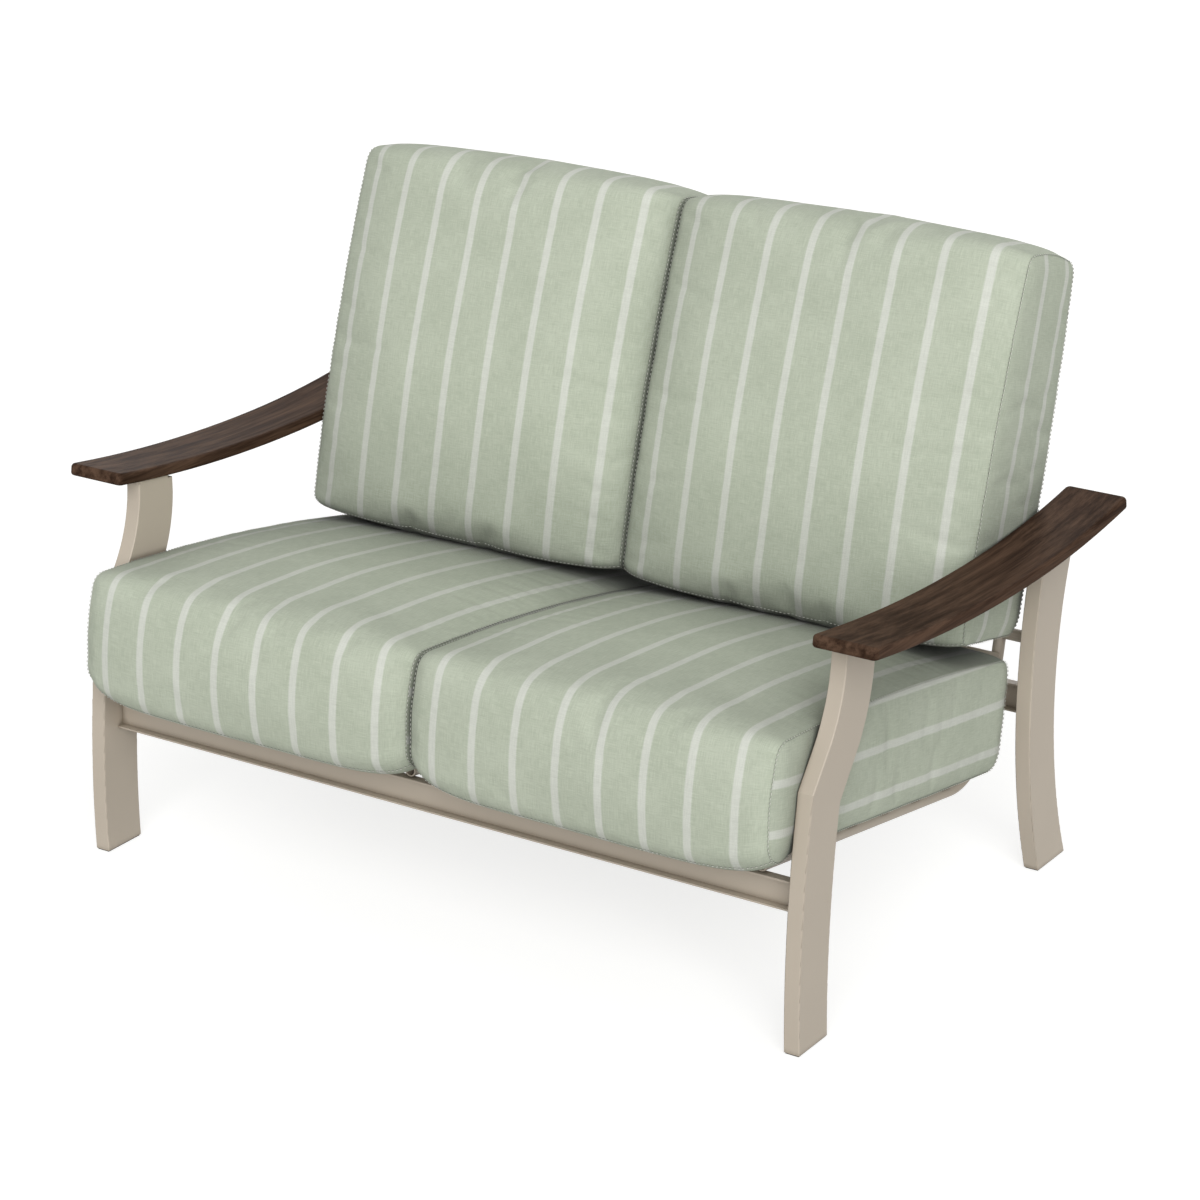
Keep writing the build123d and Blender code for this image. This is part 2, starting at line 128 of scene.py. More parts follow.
class FinishSettings(bpy.types.PropertyGroup):
    """Finishes of the frame, the arms and the small fittings."""
    paint: colour("Powder coat", "Taupe powder coat of the frame", srgb(184, 173, 158))
    # Painted shade: the coat's colour is darkened towards this where pieces meet and the open air is shut
    # out.
    crevice_shade: colour("Crevices", "The coat where pieces meet", srgb(134, 123, 108))
    wood_light: colour("Wood, light", "Lighter grain of the arms", srgb(92, 71, 57))
    wood_dark: colour("Wood, dark", "Darker grain of the arms", srgb(44, 30, 22))
    plastic: colour("Moulded plastic", "Glides and end caps", srgb(64, 60, 54))
    steel: colour("Steel", "Screws", srgb(196, 194, 190))
    brass: colour("Brass", "Threaded inserts", srgb(222, 184, 118))
    coat_grain: length("Coat grain", "Size of the powder coat's fine grain", 0.0011)
    wood_figure: length("Wood figure", "Width of the arms' broad grain bands", 0.011)
    wood_pore: length("Wood pores", "Width of the arms' fine pores", 0.0011)


class SeatSettings(bpy.types.PropertyGroup):
    """Seat cushions, measured from the middle of the first seat slat and up from the slats."""
    front: length("Front", "How far the front is ahead of the first slat", 0.157)
    rear: length("Rear", "How far the rear is behind the first slat", 0.551)
    front_height: length("Front height", "Height of the sewn edge at the front", 0.199)
    rear_height: length("Rear height", "Height of the sewn edge at the rear", 0.207)
    droop: length("Droop", "How far the front hangs below the slats", 0.030)
    droop_start: length("Droop start", "How far ahead of the first slat the droop begins", 0.063)
    front_bow: length("Front bow", "Outward swell of the front", 0.010)
    top_bow: length("Crown", "Upward swell of the top", 0.026)
    rear_bow: length("Rear bow", "Outward swell of the rear", 0.007)
    top_radius: length("Top radius", "Round of the top's front and rear edges", 0.026)
    front_radius: length("Front radius", "Round of the front's lower edge", 0.062)
    rear_radius: length("Rear radius", "Round of the rear's lower edge", 0.030)
    droop_radius: length("Droop radius", "Round where the droop begins", 0.018)
    front_draw: length("Front draw", "How far the front is drawn in at the ends", 0.009)
    rear_draw: length("Rear draw", "How far the rear is drawn in at the ends", 0.004)
    top_draw: length("Top draw", "How far the top is drawn down at the ends", 0.007)
    under_draw: length("Under draw", "How far the underside is drawn up at the ends", 0.024)
    front_inset: length("Front inset", "How far the front rounds off towards a seam", 0.006)
    side_stripe: length("Side stripe", "Height of the side's lower stripe above the slats", 0.0605)
    fill: share("Fill", "From slack to tight", 0.8)


class BackSettings(bpy.types.PropertyGroup):
    """Back cushions, measured up from the middle of the first back slat and ahead of the slats."""
    front_bottom: length("Front bottom", "The front's lower corner above the first slat", 0.0405)
    rear_bottom: length("Rear bottom", "The rear's lower corner above the first slat", 0.0445)
    front_top: length("Front top", "The front's upper corner above the first slat", 0.6456)
    rear_top: length("Rear top", "The rear's upper corner above the first slat", 0.6336)
    front_low: length("Front, low", "The front's lower corner ahead of the slats", 0.254)
    front_high: length("Front, high", "The front's upper corner ahead of the slats", 0.217)
    rear_low: length("Rear, low", "The rear's lower corner ahead of the slats", 0.030)
    rear_high: length("Rear, high", "The rear's upper corner ahead of the slats", 0.008)
    front_bow: length("Front bow", "Outward swell of the front", 0.022)
    top_bow: length("Top bow", "Upward swell of the top", 0.011)
    rear_bow: length("Rear bow", "Swell of the rear towards the slats", 0.0183)
    top_radius: length("Top radius", "Round of the top's edges", 0.024)
    front_under_radius: length("Front under radius", "Round of the front's lower edge", 0.016)
    rear_under_radius: length("Rear under radius", "Round of the rear's lower edge", 0.034)
    front_low_draw: length("Front low draw", "How far the front's foot is drawn in at the ends", 0.028)
    front_high_draw: length("Front high draw", "How far the front's head is drawn in at the ends", 0.037)
    top_draw: length("Top draw", "How far the top is drawn down at the ends", 0.010)
    rear_draw: length("Rear draw", "How far the rear is drawn in at the ends", 0.007)
    under_draw: length("Under draw", "How far the underside is drawn up at the ends", 0.012)
    front_inset: length("Front inset", "How far the front rounds off towards a seam", 0.008)
    side_stripe: length("Side stripe", "The side's first stripe behind the front seam", 0.044)
    fill: share("Fill", "From slack to tight", 0.75)


class CoverSettings(bpy.types.PropertyGroup):
    """How the cushions' covers are cut, sewn and filled."""
    mesh_step: length("Mesh step", "Size of the cover's mesh before it is smoothed", 0.0085)
    draw_power: plain_number("Draw power", "How late the ends are drawn in", 7)
    front_draw_power: plain_number("Front draw power", "How late a front's ends are drawn in", 4)
    end_bow_share: share("Bow at the ends", "What is left of a swell at the ends", 0.5)
    edge_reach: length("Edge reach", "How far from a seam the cover rounds off", 0.030)
    edge_inset: length("Edge inset", "How far the wrap rounds off towards a seam, but for the front", 0.002)
    seam_setback: length("Seam setback", "How far the seams lie inside the solid's ends", 0.003)
    side_swell: length("Side swell", "How far the side panels stand out from their seams", 0.0055)
    pressure: plain_number("Pressure", "Push of the filling on the cover", 4)
    growth: share("Growth", "Spare cloth in the cover", 0.004)
    swell_limit: length("Swell limit", "How far a point of the cover may move", 0.024)
    swell_share: share("Broad swell", "How much of the filling's broad swell is kept beside its folds", 0.03)
    frames: IntProperty(name="Frames", description="Steps of the simulation", default=20)
    unevenness: length("Unevenness", "Height of the filling's soft unevenness", 0.0018)
    pucker: length("Pucker", "Height of the small puckers beside the seams", 0.0010)
    stitch: length("Stitch", "Length of a stitch", 0.0042)
    stitch_pitch: length("Stitch pitch", "From one stitch to the next", 0.0068)
    stitch_radius: length("Thread radius", "Half the thickness of the sewing thread", 0.0007)


class StageSettings(bpy.types.PropertyGroup):
    """Floor, lights and camera."""
    floor_colour: colour("Floor", "Plain pale floor", srgb(182, 182, 180))
    floor_width: length("Floor width", "Side of the square floor", 16.0)
    floor_lift: plain_number("Floor lift", "How far the floor is whitened where seen", 0.71)
    sky_level: plain_number("Sky level", "Strength of the even light all round", 0.42)
    key_level: plain_number("Front light", "Level of the soft light from the front", 0.82)
    rear_level: plain_number("Rear light", "Level of the soft light from behind", 0.25)
    camera_azimuth: angle("Camera azimuth", "Turn of the camera round the loveseat", 32.96)
    camera_elevation: angle("Camera elevation", "Height of the camera as an angle", 19.84)
    camera_distance: length("Camera distance", "From the camera to the point it looks at", 5.52)
    target: FloatVectorProperty(
        name="Target", description="Point that the camera looks at", subtype="XYZ", unit="LENGTH", size=3,
        default=(0.1269, -0.0548, 0.5738),
    )
    lens: plain_number("Lens", "Focal length in millimetres on a 36 mm sensor", 112.17)
    shift_x: plain_number("Shift X", "Sideways framing", -0.0240)
    shift_y: plain_number("Shift Y", "Upward framing", -0.0593)


def new_object(name, data):
    """A new object, put into the scene."""
    made = bpy.data.objects.new(name, data)
    bpy.context.scene.collection.objects.link(made)
    return made


# Shader nodes

def put(tree, socket, value):
    """Links a result to a socket, or sets the socket to a plain value."""
    if isinstance(value, bpy.types.NodeSocket):
        tree.links.new(value, socket)
    else:
        socket.default_value = value


def add(tree, kind, inputs=None, **choices):
    """A new node, with its choices made and its inputs set or linked."""
    made = tree.nodes.new("ShaderNode" + kind)
    for key, value in choices.items():
        setattr(made, key, value)
    for key, value in (inputs or {}).items():
        put(tree, made.inputs[key], value)
    return made


def calc(tree, operation, *values):
    """The result of a sum on numbers or sockets."""
    return add(tree, "Math", dict(enumerate(values)), operation=operation).outputs[0]


def smooth_step(tree, value, low, high):
    """0 below low, 1 above high, and a smooth way between. Low may be the greater."""
    inputs = {"Value": value, "From Min": low, "From Max": high}
    return add(tree, "MapRange", inputs, interpolation_type="SMOOTHSTEP").outputs[0]


def ranged(tree, value, low, high):
    """A result from 0 to 1, laid out from low to high."""
    return calc(tree, "MULTIPLY_ADD", value, high - low, low)


def weighed(tree, *parts):
    """The sum of some results, each times its weight."""
    total = 0
    for value, weight in parts:
        total = calc(tree, "MULTIPLY_ADD", value, weight, total)
    return total


def stretched(tree, vector, scales):
    return add(tree, "VectorMath", {0: vector, 1: scales}, operation="MULTIPLY").outputs[0]


def cloudy(tree, vector, blots, detail=2, roughness=0.5):
    """Soft noise about 0.5, with so many blots to a metre: one number, or one for each way."""
    scaled = stretched(tree, vector, blots if isinstance(blots, tuple) else (blots, blots, blots))
    inputs = {"Vector": scaled, "Scale": 1, "Detail": detail, "Roughness": roughness}
    return add(tree, "TexNoise", inputs).outputs[0]


def mixed(tree, amount, first, second):
    """Two colours mixed."""
    tones = [tone if isinstance(tone, bpy.types.NodeSocket) else (*tone, 1) for tone in (first, second)]
    return add(tree, "Mix", {0: amount, 6: tones[0], 7: tones[1]}, data_type="RGBA").outputs[2]


def darker(tone, part):
    """What is left of a plain colour when only a part of its light is kept."""
    return [level * part for level in tone]


def bumped(tree, height, distance):
    return add(tree, "Bump", {"Height": height, "Distance": distance, "Strength": 1}).outputs[0]


def new_material(name):
    """A material with its main shader alone, and its tree."""
    material = bpy.data.materials.new(name)
    material.use_nodes = True
    return material, material.node_tree


def set_shader(material, **values):
    """Sets the main shader's values, each plain or from a result, and gives the material."""
    tree = material.node_tree
    for key, value in values.items():
        put(tree, tree.nodes["Principled BSDF"].inputs[SOCKETS[key]], value)
    return material


SOCKETS = {
    "colour": "Base Color", "normal": "Normal", "roughness": "Roughness", "metallic": "Metallic",
    "specular": "Specular IOR Level", "sheen": "Sheen Weight", "sheen_roughness": "Sheen Roughness",
    "glow": "Emission Color", "glow_level": "Emission Strength",
}
WHITE = (1, 1, 1, 1)


def place_in_frame(tree):
    return add(tree, "TexCoord").outputs["Object"]


def open_air(tree, reach):
    """1 in the open, and less where a point is shut in within the reach."""
    return add(tree, "AmbientOcclusion", {"Distance": reach}, samples=OPEN_AIR_SAMPLES).outputs["AO"]


OPEN_AIR_SAMPLES = 6


def shut_in_light(tree, reach, depth):
    """1 in the open, and less by up to the depth where a point is shut in within the reach."""
    return ranged(tree, open_air(tree, reach), 1 - depth, 1)


def fold_light(tree, cloth):
    """1 in the open, and less the deeper a point lies in a fold."""
    broad = shut_in_light(tree, cloth.fold_reach, cloth.fold_shade)
    return calc(tree, "MULTIPLY", broad, shut_in_light(tree, cloth.touch_reach, cloth.touch_shade))


def dimmed(tree, tone, light):
    """A colour times a light."""
    return add(tree, "VectorMath", {0: tone, "Scale": light}, operation="SCALE").outputs[0]


# Finishes

def striped_cloth(cloth):
    """Slubby two-tone weave with narrow stripes, drawn in the cover's own flat pattern."""
    material, tree = new_material("striped_cloth")
    flat = add(tree, "UVMap", uv_map=CLOTH_MAP).outputs[0]
    across = add(tree, "SeparateXYZ", {0: flat}).outputs["X"]

    wander = ranged(tree, cloudy(tree, flat, WANDER_BLOTS), -STRIPE_WANDER, STRIPE_WANDER)
    phase = calc(tree, "FRACT", calc(tree, "DIVIDE", calc(tree, "ADD", across, wander), cloth.stripe_pitch))
    off_middle = calc(tree, "ABSOLUTE", calc(tree, "SUBTRACT", phase, 0.5))
    off_middle = calc(tree, "MULTIPLY", off_middle, cloth.stripe_pitch)
    half, edge = cloth.stripe_width / 2, cloth.stripe_edge / 2
    stripe = smooth_step(tree, off_middle, half + edge, half - edge)

    warp = cloudy(tree, flat, (1 / cloth.yarn, 1 / cloth.slub, 1), **SLUBBY)
    weft = cloudy(tree, flat, (1 / cloth.slub, 1 / cloth.yarn, 1), **SLUBBY)
    yarns = weighed(tree, (warp, 0.5), (weft, 0.5))
    clouds = cloudy(tree, flat, CLOTH_BLOTS, **SLUBBY)
    uneven = weighed(tree, (yarns, 1 - CLOUD_SHARE), (clouds, CLOUD_SHARE))
    depth = smooth_step(tree, uneven, *CLOTH_CONTRAST)
    ground = mixed(tree, depth, cloth.ground_dark, cloth.ground)
    pale = mixed(tree, depth, cloth.stripe_dark, cloth.stripe)

    seam = add(tree, "Attribute", attribute_name=SEAM_DISTANCE).outputs["Fac"]
    crease = smooth_step(tree, seam, cloth.seam_line, 0)
    light = weighed(tree, (fold_light(tree, cloth), 1), (crease, -CREASE_SHADE))

    turn = 2 * math.pi / cloth.yarn
    crests = add(tree, "SeparateXYZ", {0: stretched(tree, flat, (turn, turn, 0))}).outputs
    weave = calc(tree, "MULTIPLY", calc(tree, "SINE", crests["X"]), calc(tree, "SINE", crests["Y"]))
    relief = weighed(tree, (weave, WEAVE_HEIGHT), (yarns, 1), (crease, -1))
    return set_shader(
        material, roughness=0.9, specular=0.2, sheen=0.08, sheen_roughness=0.45,
        colour=dimmed(tree, mixed(tree, stripe, ground, pale), light),
        normal=bumped(tree, relief, CLOTH_RELIEF),
    )


SLUBBY = {"detail": 3, "roughness": 0.6}
WANDER_BLOTS = (900, 260, 1)
STRIPE_WANDER = 0.0006
CLOTH_BLOTS = 9
CLOUD_SHARE = 0.25
CLOTH_CONTRAST = (0.36, 0.64)
CREASE_SHADE = 0.06
WEAVE_HEIGHT = 0.18
CLOTH_RELIEF = 0.0007


def sewing_thread(cloth):
    """Twisted thread of the stitches."""
    material, tree = new_material("sewing_thread")
    fibres = cloudy(tree, place_in_frame(tree), FIBRE_BLOTS)
    tone = mixed(tree, fibres, darker(cloth.thread, FIBRE_SHADE), cloth.thread)
    return set_shader(
        material, roughness=0.7, colour=dimmed(tree, tone, fold_light(tree, cloth)),
        normal=bumped(tree, fibres, FIBRE_RELIEF),
    )


FIBRE_BLOTS, FIBRE_SHADE, FIBRE_RELIEF = 2500, 0.8, 0.0002


def powder_coat(finish):
    """Matt taupe coat with a fine grain, and painted shade that darkens it where pieces meet."""
    material, tree = new_material("taupe_powder_coat")
    place = place_in_frame(tree)
    grain = cloudy(tree, place, 1 / finish.coat_grain, detail=1)
    patches = cloudy(tree, place, PATCH_BLOTS, detail=3)
    # Painted shade: where an occlusion test finds the point shut in, the coat is mixed towards the darker
    # crevice colour.
    openness = smooth_step(tree, open_air(tree, CREVICE_REACH), *CREVICE_RANGE)
    tone = mixed(tree, openness, finish.crevice_shade, finish.paint)
    return set_shader(
        material, colour=dimmed(tree, tone, ranged(tree, patches, *PATCH_LIGHT)),
        roughness=ranged(tree, grain, *COAT_ROUGHNESS), normal=bumped(tree, grain, COAT_RELIEF),
    )


PATCH_BLOTS, PATCH_LIGHT = 7, (0.95, 1.05)
# How far the painted shade in crevices reaches, and over which range of openness it fades in.
CREVICE_REACH, CREVICE_RANGE = 0.012, (0.35, 0.95)
COAT_ROUGHNESS, COAT_RELIEF = (0.42, 0.58), 0.00009


def grain_blots(width, stretch):
    """Blots to a metre of grain that runs front to back, so many times as long as wide."""
    return 1 / width, 1 / width / stretch, 1 / width


def dark_walnut(finish):
    """Dark stained wood with its grain along the arm, and hardly any gloss."""
    material, tree = new_material("dark_walnut")
    place = place_in_frame(tree)
    drift = cloudy(tree, place, DRIFT_BLOTS)
    bands = cloudy(tree, place, grain_blots(finish.wood_figure, BAND_STRETCH), **BAND_NOISE)
    pores = cloudy(tree, place, grain_blots(finish.wood_pore, PORE_STRETCH))
    figure = weighed(tree, (bands, BAND_SHARE), (pores, PORE_SHARE), (drift, 1 - BAND_SHARE - PORE_SHARE))
    tone = mixed(tree, smooth_step(tree, figure, *WOOD_CONTRAST), finish.wood_dark, finish.wood_light)
    return set_shader(
        material, specular=0.025, colour=tone,
        roughness=ranged(tree, pores, *WOOD_ROUGHNESS), normal=bumped(tree, pores, WOOD_RELIEF),
    )


DRIFT_BLOTS = (9, 2.2, 9)
BAND_STRETCH, BAND_SHARE, BAND_NOISE = 26, 0.62, {"detail": 4, "roughness": 0.62}
PORE_STRETCH, PORE_SHARE = 45, 0.23
WOOD_CONTRAST, WOOD_ROUGHNESS, WOOD_RELIEF = (0.36, 0.66), (0.46, 0.68), 0.00012


def moulded_plastic(finish):
    """Dark plastic with a fine grain."""
    material, tree = new_material("moulded_plastic")
    grain = cloudy(tree, place_in_frame(tree), PLASTIC_BLOTS, detail=1)
    tone = mixed(tree, grain, darker(finish.plastic, PLASTIC_SHADE), finish.plastic)
    return set_shader(material, roughness=0.55, colour=tone, normal=bumped(tree, grain, PLASTIC_RELIEF))


PLASTIC_BLOTS, PLASTIC_SHADE, PLASTIC_RELIEF = 1500, 0.85, 0.0001


def turned_metal(name, tone):
    """Bare metal with fine tool marks."""
    material, tree = new_material(name)
    marks = cloudy(tree, place_in_frame(tree), MARK_BLOTS, detail=1)
    return set_shader(
        material, metallic=1, colour=mixed(tree, marks, darker(tone, MARK_SHADE), tone),
        roughness=ranged(tree, marks, *METAL_ROUGHNESS), normal=bumped(tree, marks, MARK_RELIEF),
    )


MARK_BLOTS, MARK_SHADE, MARK_RELIEF = (600, 600, 4200), 0.75, 0.00004
METAL_ROUGHNESS = (0.22, 0.42)


def finish_nodes(names, material):
    for name in names:
        piece = frame["nodes"][name]
        piece.data.materials.clear()
        piece.data.materials.append(material)


# Cushion outlines, in the side view as (y, z)

def arc(start, through, end, count):
    """Points along the arc through three points, without its end."""
    first, second = through - start, end - start
    cross = first[0] * second[1] - first[1] * second[0]
    steps = np.linspace(0, 1, count, endpoint=False)
    if abs(cross) < NEXT_TO_NOTHING:
        return start + steps[:, None] * second
    left = np.array([second[1] * first @ first - first[1] * second @ second,
                     first[0] * second @ second - second[0] * first @ first]) / (2 * cross)
    centre = start + left
    radius = math.hypot(*left)
    turns = [math.atan2(*(point - centre)[::-1]) for point in (start, through, end)]
    way = 1 if cross > 0 else -1
    sweep = (way * (turns[2] - turns[0])) % (2 * math.pi)
    angles = turns[0] + way * sweep * steps
    return centre + radius * np.stack([np.cos(angles), np.sin(angles)], axis=1)


NEXT_TO_NOTHING = 1e-9


def outline(corners, bows, radii):
    """A round-cornered, bowed outline: its points, and where its first four corners stand among them."""
    corners = [np.array(corner) for corner in corners]
    middle = sum(corners) / len(corners)
    number = len(corners)
    starts, ends = [], []
    for index, corner in enumerate(corners):
        after, before = corners[(index + 1) % number] - corner, corners[index - 1] - corner
        starts.append(corner + after / math.hypot(*after) * radii[index])
        ends.append(corner + before / math.hypot(*before) * radii[index])
    points, marks = [], []
    for index, corner in enumerate(corners):
        chord = (ends[index] + starts[index]) / 2
        through = chord + (corner - chord) * ROUND_CORNER_SHARE
        if index < MARKED_CORNERS:
            marks.append(len(points) + CORNER_POINTS // 2)
        points.extend(arc(ends[index], through, starts[index], CORNER_POINTS))
        start, end = starts[index], ends[(index + 1) % number]
        side = (end - start) / math.hypot(*(end - start))
        outward = np.array([side[1], -side[0]])
        if outward @ ((start + end) / 2 - middle) < 0:
            outward = -outward
        points.extend(arc(start, (start + end) / 2 + outward * bows[index], end, SIDE_POINTS))
    return np.array(points), marks


ROUND_CORNER_SHARE = 0.414
MARKED_CORNERS = 4
CORNER_POINTS = 16
SIDE_POINTS = 80


def running_total(steps):
    """How far one has come at each point of a line, from the lengths of the steps between them."""
    return np.concatenate([[0], np.cumsum(steps)])


def even_loop(points, marks, counts):
    """The outline again, with a given number of even steps from each mark to the next."""
    loop = []
    for index, count in enumerate(counts):
        start, end = marks[index], marks[(index + 1) % len(marks)]
        span = np.concatenate([points[start:], points[:end + 1]]) if end <= start else points[start:end + 1]
        walked = running_total(np.hypot(*np.diff(span, axis=0).T))
        wanted = np.linspace(0, walked[-1], count, endpoint=False)
        loop.extend(np.stack([np.interp(wanted, walked, span[:, axis]) for axis in (0, 1)], axis=1))
    return np.array(loop)


class Rest:
    """The slats that a cushion rests on: a place along them and above them, seen from the side."""

    def __init__(self, slat, direction):
        self.along = np.array(direction)
        self.above = np.array([-direction[1], direction[0]])
        points = np.array([vertex.co[1:] for vertex in frame["nodes"][slat].data.vertices])
        run, height = points @ self.along, points @ self.above
        self.origin = self.along * (run.min() + run.max()) / 2 + self.above * height.max()

    def point(self, along, above):
        return self.origin + self.along * along + self.above * above

    def measure(self, points):
        """How far points (y, z) lie along the slats, and above them."""
        return (points - self.origin) @ self.along, (points - self.origin) @ self.above


def joint_direction(name):
    """A joint's axis in the side view, as (y, z)."""
    joint = next(joint for joint in frame["joints"] if joint["name"] == name)
    return joint["axis"][1], joint["axis"][2]


def seat_outline(seat, inset, rest, draw, front_draw, near_seam, bow):
    """A seat cushion's outline at one place across it. The last four tell how near its ends that is."""
    inset *= near_seam
    front = seat.front_draw * front_draw + seat.front_inset * near_seam - seat.front
    rear = seat.rear - seat.rear_draw * draw - inset
    under, top = REST_GAP + seat.under_draw * draw + inset, seat.top_draw * draw + inset
    corners = [
        rest.point(front, under - seat.droop),
        rest.point(front, seat.front_height - top),
        rest.point(rear, seat.rear_height - top),
        rest.point(rear, under),
        rest.point(-seat.droop_start, under),
    ]
    bows = (seat.front_bow * bow, seat.top_bow * bow, seat.rear_bow * bow, 0, 0)
    radii = (seat.front_radius, seat.top_radius, seat.top_radius, seat.rear_radius, seat.droop_radius)
    return outline(corners, bows, radii)


def back_outline(back, inset, rest, draw, front_draw, near_seam, bow):
    """A back cushion's outline at one place across it. The last four tell how near its ends that is."""
    inset, front_inset = inset * near_seam, back.front_inset * near_seam
    top, rear = back.top_draw * draw + inset, back.rear_draw * draw + inset
    under = back.under_draw * front_draw + inset
    front_low = back.front_low - back.front_low_draw * front_draw - front_inset
    front_high = back.front_high - back.front_high_draw * front_draw - front_inset
    corners = [
        rest.point(back.front_bottom + under, front_low),
        rest.point(back.front_top - top, front_high),
        rest.point(back.rear_top - top, back.rear_high + rear),
        rest.point(back.rear_bottom + under, back.rear_low + rear),
    ]
    bows = (back.front_bow * bow, back.top_bow * bow, back.rear_bow * bow, 0)
    radii = (back.front_under_radius, back.top_radius, back.top_radius, back.rear_under_radius)
    return outline(corners, bows, radii)


REST_GAP = 0.0005


# Cushion covers

def ring_faces(rings, size):
    """The faces between rings of points, each by its corners: low, high, and the next high and low."""
    for ring in range(rings - 1):
        for step in range(size):
            after = (step + 1) % size
            low, high = ring * size, (ring + 1) * size
            yield low + step, high + step, high + after, low + after


class Cover:
    """A cushion's cover as sewn: one cloth wrapped round it from end to end, and a side panel at each end."""

    def __init__(self, name, low_x, high_x, section, counts, cover):
        self.name, self.counts, self.cover = name, counts, cover
        self.middle_x, self.half = (low_x + high_x) / 2, (high_x - low_x) / 2 - cover.seam_setback
        stations = round(2 * self.half / cover.mesh_step)
        steps = np.linspace(-1, 1, stations + 1)
        self.shares = (1 - END_CROWDING) * steps + END_CROWDING * np.sin(steps * math.pi / 2)
        self.loop_size = 2 * sum(counts)
        points = []
        for place in self.shares:
            bow = cover.end_bow_share + (1 - cover.end_bow_share) * (1 - place ** 2)
            draw, front_draw = abs(place) ** cover.draw_power, abs(place) ** cover.front_draw_power
            near_seam = max(0, 1 - self.half * (1 - abs(place)) / cover.edge_reach) ** 2
            loop = even_loop(*section(draw, front_draw, near_seam, bow), (*counts, *counts))
            x = np.full((self.loop_size, 1), self.middle_x + self.half * place)
            points.append(np.hstack([x, loop]))
        self.points = np.concatenate(points)
        self.faces = list(ring_faces(stations + 1, self.loop_size))
        self.wrap_faces = len(self.faces)
        self.ends = [self.add_side(0, -1), self.add_side(stations * self.loop_size, 1)]
        self.from_seam = self.seam_distances()
        self.swell_sides()

    def add_side(self, first, way):
        """Fills one end with a side panel, woven between the four stretches of its edge."""
        one, two = self.counts
        edge = self.points[first:first + self.loop_size]
        grid = np.zeros((one + 1, two + 1), int)
        added = []
        for i in range(one + 1):
            for j in range(two + 1):
                if j == 0:
                    grid[i, j] = first + i
                elif i == one:
                    grid[i, j] = first + one + j
                elif j == two:
                    grid[i, j] = first + 2 * one + two - i
                elif i == 0:
                    grid[i, j] = first + self.loop_size - j
                else:
                    s, t = i / one, j / two
                    across = (1 - t) * edge[i] + t * edge[2 * one + two - i]
                    along = (1 - s) * edge[-j] + s * edge[one + j]
                    near = (1 - t) * edge[0] + t * edge[2 * one + two]
                    far = (1 - t) * edge[one] + t * edge[one + two]
                    corners = (1 - s) * near + s * far
                    grid[i, j] = len(self.points) + len(added)
                    added.append(across + along - corners)
        self.points = np.concatenate([self.points, added])
        for i in range(one):
            for j in range(two):
                quad = [grid[i, j], grid[i + 1, j], grid[i + 1, j + 1], grid[i, j + 1]]
                self.faces.append(tuple(quad if way < 0 else quad[::-1]))
        return grid

    def seam_distances(self):
        """How far each point lies from its nearest seam."""
        wrap = len(self.shares) * self.loop_size
        distances = np.empty(len(self.points))
        distances[:wrap] = self.half * (1 - np.abs(np.repeat(self.shares, self.loop_size)))
        for end, grid in zip((0, wrap - self.loop_size), self.ends):
            edge = self.points[end:end + self.loop_size]
            inner = grid[1:-1, 1:-1].ravel()
            gaps = np.linalg.norm(self.points[inner, None] - edge[None], axis=2)
            distances[inner] = gaps.min(axis=1)
        return distances

    def swell_sides(self):
        """Stands the side panels out from their seams, round at the edge."""
        for way, grid in zip((-1, 1), self.ends):
            inner = grid[1:-1, 1:-1].ravel()
            slack = np.clip(1 - self.from_seam[inner] / self.cover.edge_reach, 0, 1)
            self.points[inner, 0] += way * self.cover.side_swell * (1 - slack ** 2)

    def seams(self):
        """The points along each seam: round both ends, and along the front's lower edge."""
        last = (len(self.shares) - 1) * self.loop_size
        rims = [[*range(first, first + self.loop_size), first] for first in (0, last)]
        return [*rims, list(range(0, last + 1, self.loop_size))]

    def front_seam(self):
        """The front seam's lower corner in the side view, and the way up from it to the upper one."""
        low, high = self.points[0, 1:], self.points[self.counts[0], 1:]
        return low, (high - low) / math.hypot(*(high - low))

    def flat_pattern(self, start, way, side_stripe, pitch):
        """The flat place of each corner of each face, with stripes at whole steps from half a pitch.

        A side panel's first stripe runs the given way, at its distance to the left of the start.
        """
        middle = len(self.shares) // 2 * self.loop_size
        loop = self.points[middle:middle + self.loop_size, 1:]
        walked = running_total(np.hypot(*(np.roll(loop, -1, axis=0) - loop).T))
        flat = []
        for number, face in enumerate(self.faces):
            if number < self.wrap_faces:
                station, step = divmod(number, self.loop_size)
                for x_step, y_step in ((0, 0), (1, 0), (1, 1), (0, 1)):
                    flat.append((self.half * self.shares[station + x_step], walked[step + y_step]))
            else:
                places = self.points[list(face), 1:] - start
                flat.extend(zip(places @ (-way[1], way[0]) - side_stripe + pitch / 2, places @ way))
        return np.array(flat)

    def make_object(self, flat):
        mesh = bpy.data.meshes.new(self.name)
        mesh.from_pydata([tuple(point) for point in self.points], [], self.faces)
        layer = mesh.uv_layers.new(name=CLOTH_MAP)
        layer.data.foreach_set("uv", flat.ravel())
        attribute = mesh.attributes.new(SEAM_DISTANCE, "FLOAT", "POINT")
        attribute.data.foreach_set("value", self.from_seam)
        mesh.shade_smooth()
        return new_object(self.name, mesh)


END_CROWDING = 0.6


def get_points(mesh):
    points = np.empty(len(mesh.vertices) * 3)
    mesh.vertices.foreach_get("co", points)
    return points.reshape(-1, 3)


def set_points(mesh, points):
    mesh.vertices.foreach_set("co", points.ravel())
    mesh.update()


def get_normals(mesh):
    normals = np.empty(len(mesh.vertices) * 3)
    mesh.vertex_normals.foreach_get("vector", normals)
    return normals.reshape(-1, 3)


